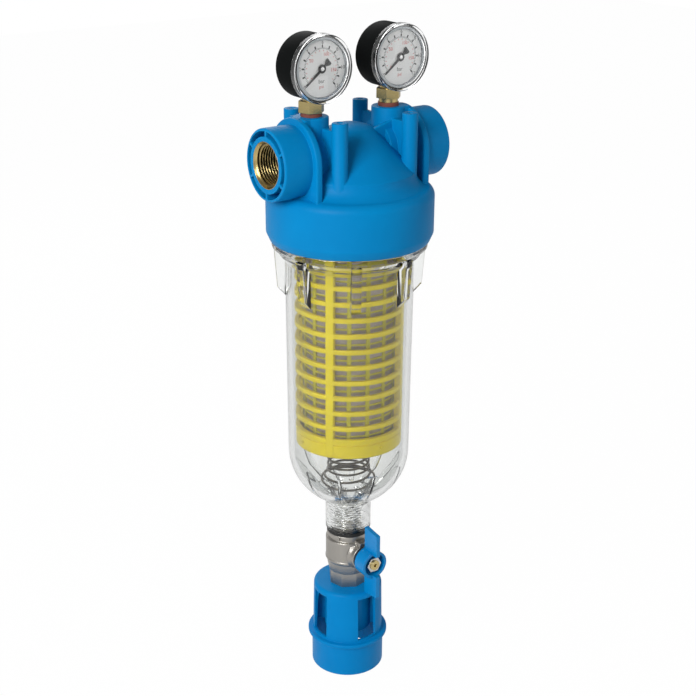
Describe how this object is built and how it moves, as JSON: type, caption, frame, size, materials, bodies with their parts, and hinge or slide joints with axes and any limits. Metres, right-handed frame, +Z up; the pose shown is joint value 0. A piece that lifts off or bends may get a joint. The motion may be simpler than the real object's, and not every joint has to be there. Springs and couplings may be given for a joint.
{
  "type": "in-line water filter",
  "caption": "In-line water filter: ported head with two pressure gauges, clear bowl, washable mesh cartridge on a spring, and a drain ball valve with waste pipe adapter.",
  "frame": {"origin": "centre of the drain adapter's bottom rim, on the bowl's upright axis", "axes": "+Z up along the bowl, -Y towards the front with the gauge faces and the valve handle, -X towards the inlet port"},
  "size_m": [0.123, 0.106, 0.4461],
  "materials": {
    "blue_plastic": "satin moulded glass-filled polypropylene",
    "adapter_blue": "smooth blue polypropylene",
    "handle_blue": "glossy blue nylon",
    "clear_bowl": "clear moulded polymer",
    "clear_window": "clear acrylic",
    "yellow_plastic": "yellow moulded polypropylene",
    "core_plastic": "olive yellow moulded plastic",
    "steel_mesh": "woven stainless steel gauze",
    "spring_steel": "stainless spring wire",
    "nickel": "nickel-plated brass, satin as cast",
    "brass": "machined brass",
    "black_rubber": "black nitrile rubber",
    "red_fibre": "red fibre sealing washer",
    "white_ptfe": "white fluoropolymer",
    "case_black": "black painted steel",
    "dial_white": "white printed aluminium",
    "pointer_black": "black painted aluminium",
    "bronze": "phosphor bronze",
    "steel": "zinc-plated steel"
  },
  "bodies": {
    "head": {"head": "blue_plastic", "inlet_insert": "brass", "inlet_gauge_case": "case_black", "inlet_gauge_window": "clear_window", "inlet_gauge_dial": "dial_white", "inlet_gauge_socket": "brass", "inlet_gauge_washer": "red_fibre", "inlet_gauge_tube": "bronze", "inlet_gauge_frame": "brass", "outlet_insert": "brass", "outlet_gauge_case": "case_black", "outlet_gauge_window": "clear_window", "outlet_gauge_dial": "dial_white", "outlet_gauge_socket": "brass", "outlet_gauge_washer": "red_fibre", "outlet_gauge_tube": "bronze", "outlet_gauge_frame": "brass"},
    "bowl_seal": {"bowl_seal": "black_rubber"},
    "bowl": {"bowl": "clear_bowl", "cartridge_spring": "spring_steel", "valve_gasket": "black_rubber", "valve_body": "nickel", "valve_end": "nickel", "ball_seat_upper": "white_ptfe", "ball_seat_lower": "white_ptfe", "stem_packing": "white_ptfe", "drain_adapter": "adapter_blue"},
    "cartridge": {"cartridge_cage": "yellow_plastic", "filter_mesh": "steel_mesh", "cartridge_core": "core_plastic", "cartridge_cap": "yellow_plastic", "cartridge_seal": "black_rubber"},
    "valve_ball": {"valve_ball": "nickel", "valve_stem": "brass", "valve_handle": "handle_blue", "handle_nut": "steel"},
    "inlet_pointer": {"inlet_gauge_pointer": "pointer_black", "inlet_gauge_pinion": "brass"},
    "inlet_sector": {"inlet_gauge_sector": "brass"},
    "outlet_pointer": {"outlet_gauge_pointer": "pointer_black", "outlet_gauge_pinion": "brass"},
    "outlet_sector": {"outlet_gauge_sector": "brass"}
  },
  "joints": [
    {"name": "bowl_travel", "type": "slide", "parent": "head", "child": "bowl_seal", "axis": [0, 0, -1], "range_m": [0, 0.0175]},
    {"name": "bowl_turn", "type": "hinge", "parent": "bowl_seal", "child": "bowl", "pos_m": [0, 0, 0.3283], "axis": [0, 0, -1], "range_deg": [0, 1260]},
    {"name": "cartridge_press", "type": "slide", "parent": "bowl", "child": "cartridge", "axis": [0, 0, 1], "range_m": [-0.008, 0], "stiffness_N_per_m": 1500, "springref_m": 0.01, "deforming": ["cartridge_spring"]},
    {"name": "valve_turn", "type": "hinge", "parent": "bowl", "child": "valve_ball", "pos_m": [0, 0, 0.0898], "axis": [0, -1, 0], "range_deg": [0, 90]},
    {"name": "inlet_pointer_turn", "type": "hinge", "parent": "head", "child": "inlet_pointer", "pos_m": [-0.0288, -0.008, 0.4239], "axis": [0, 1, 0], "range_deg": [0, 266]},
    {"name": "inlet_sector_turn", "type": "hinge", "parent": "head", "child": "inlet_sector", "pos_m": [-0.0288, -0.005, 0.4134], "axis": [0, 1, 0], "range_deg": [-44.33, 0]},
    {"name": "outlet_pointer_turn", "type": "hinge", "parent": "head", "child": "outlet_pointer", "pos_m": [0.0288, -0.008, 0.4255], "axis": [0, 1, 0], "range_deg": [0, 266]},
    {"name": "outlet_sector_turn", "type": "hinge", "parent": "head", "child": "outlet_sector", "pos_m": [0.0288, -0.005, 0.415], "axis": [0, 1, 0], "range_deg": [-44.33, 0]}
  ],
  "couplings": [
    {"joint": "bowl_travel", "follows": "bowl_turn", "m_per_rad": 0.00079577},
    {"joint": "inlet_sector_turn", "follows": "inlet_pointer_turn", "ratio": -0.16667},
    {"joint": "outlet_sector_turn", "follows": "outlet_pointer_turn", "ratio": -0.16667}
  ]
}
